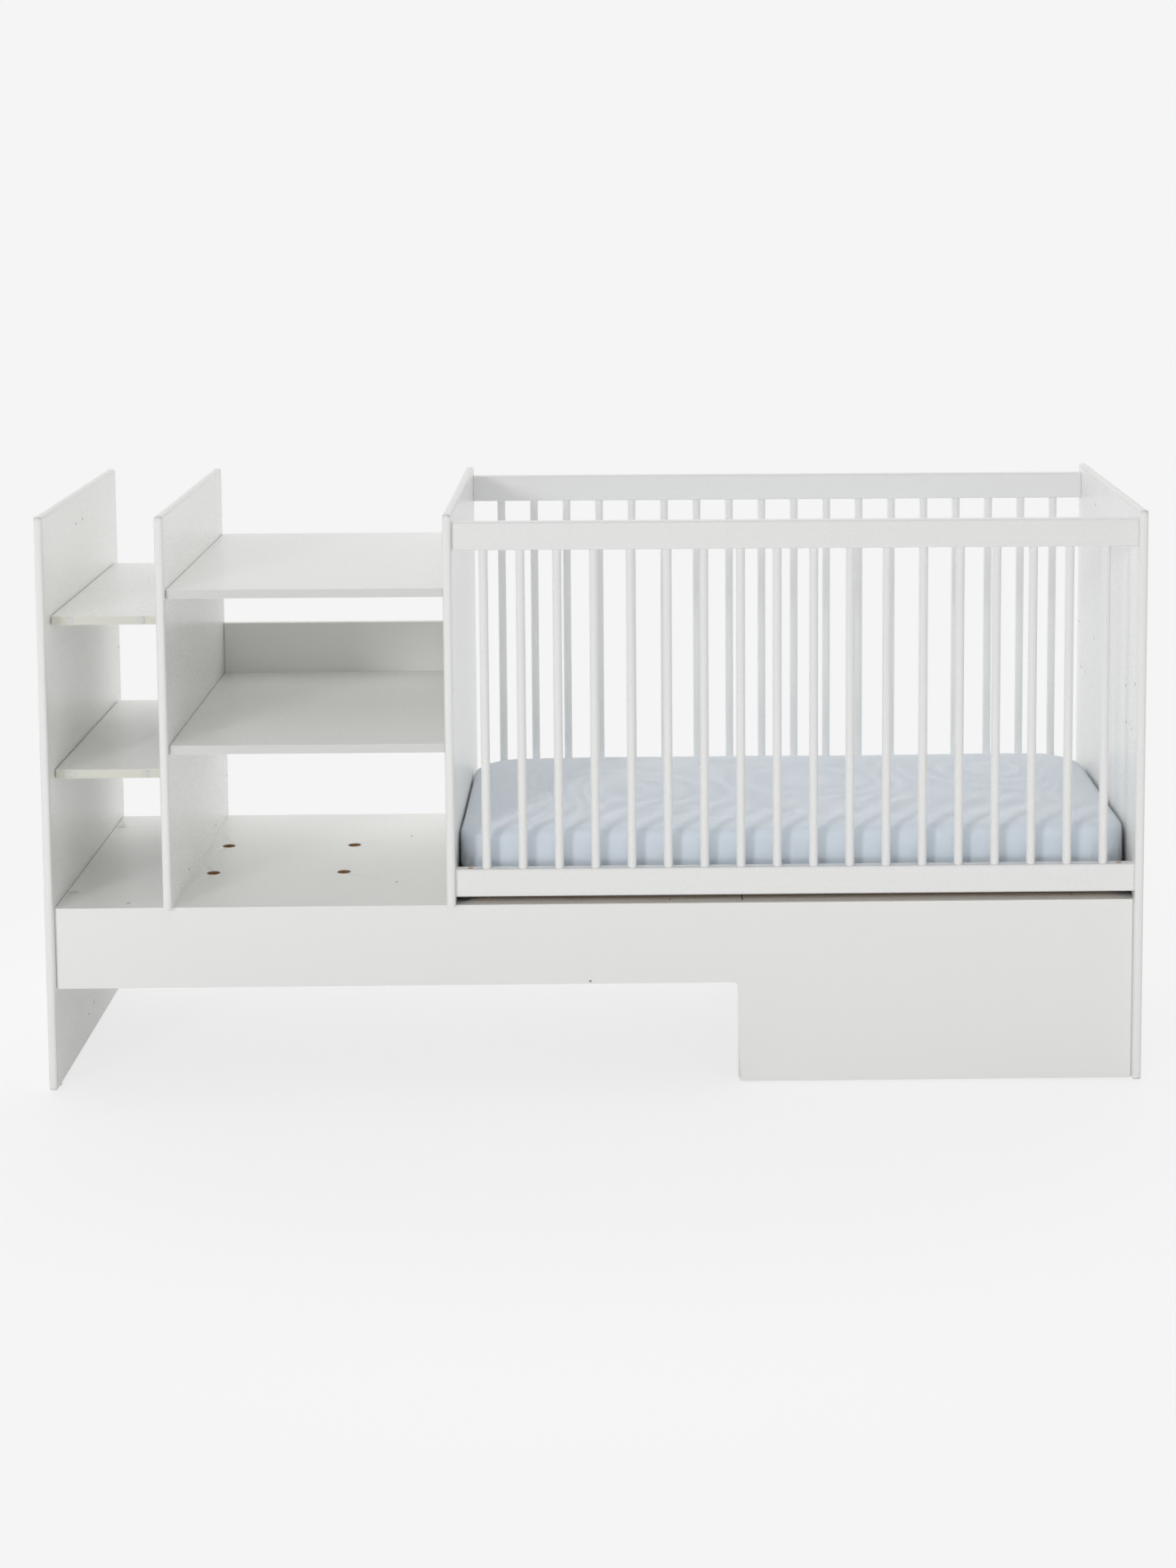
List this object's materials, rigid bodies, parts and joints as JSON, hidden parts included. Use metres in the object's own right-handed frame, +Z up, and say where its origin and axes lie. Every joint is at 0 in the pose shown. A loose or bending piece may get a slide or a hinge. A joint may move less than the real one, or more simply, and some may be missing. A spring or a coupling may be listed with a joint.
{
  "type": "crib with attached changer",
  "caption": "Crib with barred sides beside a changing board, open shelf bays and a stepped plinth; slatted base and mattress lift out.",
  "frame": {"origin": "centre of the footprint on the floor", "axes": "+X along the length towards the crib, +Y to the rear, +Z up; the front faces -Y"},
  "size_m": [1.9664, 0.7, 1.04],
  "materials": {
    "white_board": "satin melamine-faced board",
    "white_lacquer": "satin white lacquer on solid wood",
    "pine": "planed, unfinished",
    "black_plastic": "matt",
    "mattress_foam": "foam block in a cotton ticking",
    "sheet_cotton": "light-blue cotton jersey",
    "beech_dowel": "fluted beech",
    "steel": "zinc plated",
    "white_plastic": "smooth, low sheen"
  },
  "bodies": {
    "crib_frame": {"left_end_panel": "white_board", "divider_panel": "white_board", "crib_left_panel": "white_board", "right_end_panel": "white_board", "front_plinth": "white_board", "rear_plinth": "white_board", "base_cross_rail": "white_board", "changer_base_board": "white_board", "crib_base_board": "white_board", "upper_small_shelf": "white_board", "lower_small_shelf": "white_board", "changer_top": "white_board", "changer_shelf": "white_board", "shelf_back_rail": "white_board", "front_top_rail": "white_lacquer", "front_low_rail": "white_lacquer", "rear_top_rail": "white_lacquer", "rear_low_rail": "white_lacquer", "front_bar_01": "white_lacquer", "front_bar_02": "white_lacquer", "front_bar_03": "white_lacquer", "front_bar_04": "white_lacquer", "front_bar_05": "white_lacquer", "front_bar_06": "white_lacquer", "front_bar_07": "white_lacquer", "front_bar_08": "white_lacquer", "front_bar_09": "white_lacquer", "front_bar_10": "white_lacquer", "front_bar_11": "white_lacquer", "front_bar_12": "white_lacquer", "front_bar_13": "white_lacquer", "front_bar_14": "white_lacquer", "front_bar_15": "white_lacquer", "front_bar_16": "white_lacquer", "front_bar_17": "white_lacquer", "front_bar_18": "white_lacquer", "rear_bars": "white_lacquer", "base_brackets": "black_plastic", "rail_dowels": "beech_dowel", "plinth_dowels": "beech_dowel", "board_dowels": "beech_dowel", "bracket_screws": "steel", "rail_bolts": "steel", "plinth_bolts": "steel", "rail_cross_dowels": "steel", "plinth_cross_dowels": "steel", "connector_bolts": "steel", "upright_screws": "steel", "shelf_pins": "steel", "bolt_caps": "white_plastic", "board_connectors": "white_plastic", "shelf_edge_plugs": "white_plastic", "floor_glides": "white_plastic"},
    "bed_base": {"base_front_member": "pine", "base_rear_member": "pine", "base_left_member": "pine", "base_right_member": "pine", "base_slats": "pine"},
    "mattress_body": {"mattress": "mattress_foam", "fitted_sheet": "sheet_cotton"}
  },
  "joints": [
    {"name": "base_height", "type": "slide", "parent": "crib_frame", "child": "bed_base", "axis": [0, 0, 1], "range_m": [0, 0.278]},
    {"name": "mattress_lift", "type": "slide", "parent": "bed_base", "child": "mattress_body", "axis": [0, 0, 1], "range_m": [0, 0.7]}
  ]
}
